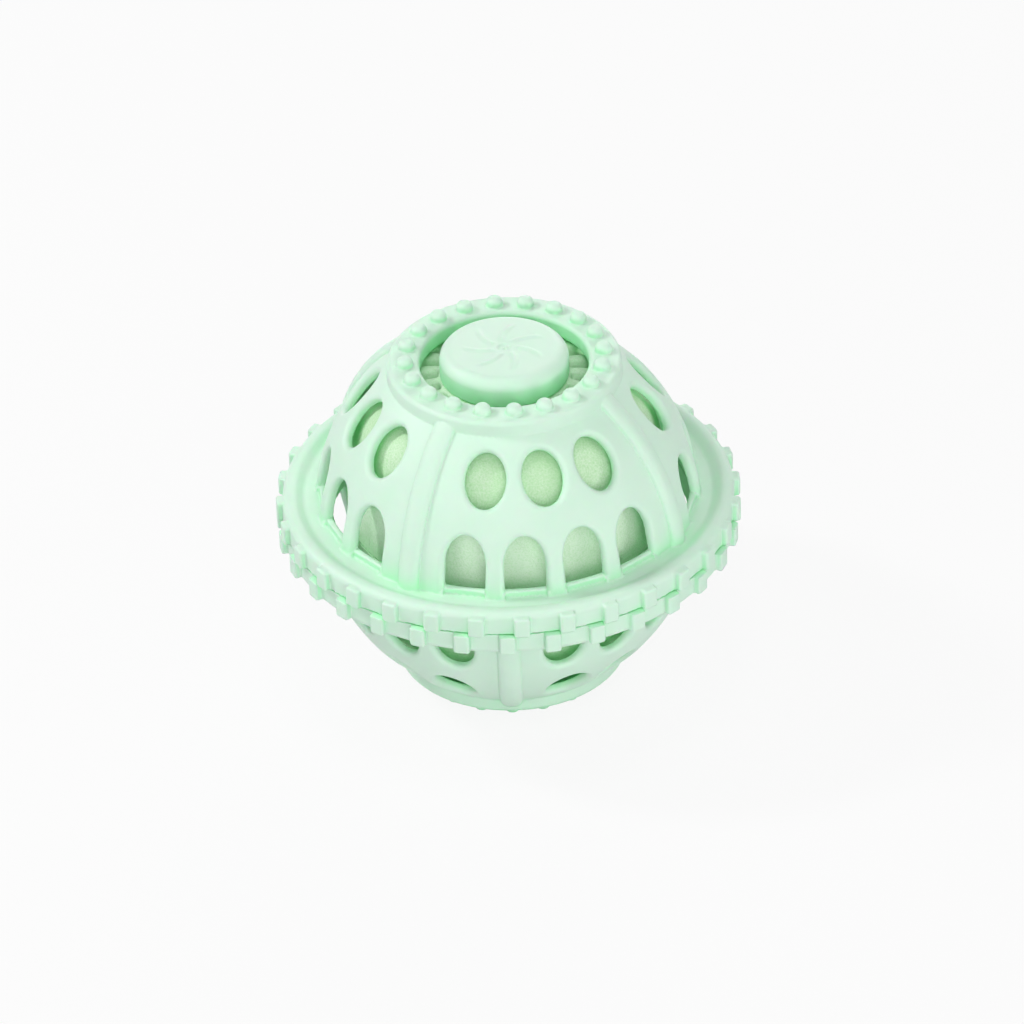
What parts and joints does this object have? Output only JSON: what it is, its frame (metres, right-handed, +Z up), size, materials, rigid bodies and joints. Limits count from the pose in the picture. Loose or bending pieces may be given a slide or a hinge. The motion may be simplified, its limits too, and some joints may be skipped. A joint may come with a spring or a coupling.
{
  "type": "laundry ball",
  "caption": "Two-part windowed laundry ball with a toothed bumper flange, knobbed pole rings and a spinning capsule of ceramic pellets closed by push-in caps.",
  "frame": {"origin": "middle of the lower cap's flat face, which the ball stands on", "axes": "+Z up along the axis through both caps; -Y faces the viewer, along a rib of the lower half shell"},
  "size_m": [0.1, 0.1, 0.0812],
  "materials": {
    "mint_shell": "soft matt moulded elastomer, pale mint",
    "grained_capsule": "pale yellowish mint with a fine moulded grain",
    "mint_cap": "satin moulded plastic, pale mint",
    "ceramic": null
  },
  "bodies": {
    "lower_shell": {"lower_shell": "mint_shell"},
    "upper_shell": {"upper_shell": "mint_shell"},
    "capsule": {"capsule_upper": "grained_capsule", "capsule_lower": "grained_capsule", "pellet_01": "ceramic", "pellet_02": "ceramic", "pellet_03": "ceramic", "pellet_04": "ceramic", "pellet_05": "ceramic", "pellet_06": "ceramic", "pellet_07": "ceramic", "pellet_08": "ceramic", "pellet_09": "ceramic", "pellet_10": "ceramic", "pellet_11": "ceramic", "pellet_12": "ceramic", "pellet_13": "ceramic", "pellet_14": "ceramic", "pellet_15": "ceramic", "pellet_16": "ceramic", "pellet_17": "ceramic", "pellet_18": "ceramic", "pellet_19": "ceramic", "pellet_20": "ceramic", "pellet_21": "ceramic", "pellet_22": "ceramic", "pellet_23": "ceramic", "pellet_24": "ceramic", "pellet_25": "ceramic", "pellet_26": "ceramic"},
    "upper_cap": {"upper_cap": "mint_cap"},
    "lower_cap": {"lower_cap": "mint_cap"}
  },
  "joints": [
    {"name": "upper_shell_lift", "type": "slide", "parent": "lower_shell", "child": "upper_shell", "axis": [0, 0, 1], "range_m": [0, 0.05]},
    {"name": "capsule_spin", "type": "hinge", "parent": "lower_shell", "child": "capsule", "pos_m": [0, 0, 0.0406], "axis": [0, 0, 1], "continuous": true},
    {"name": "upper_cap_pull", "type": "slide", "parent": "capsule", "child": "upper_cap", "axis": [0, 0, 1], "range_m": [0, 0.012]},
    {"name": "lower_cap_pull", "type": "slide", "parent": "capsule", "child": "lower_cap", "axis": [0, 0, -1], "range_m": [0, 0.012]}
  ]
}
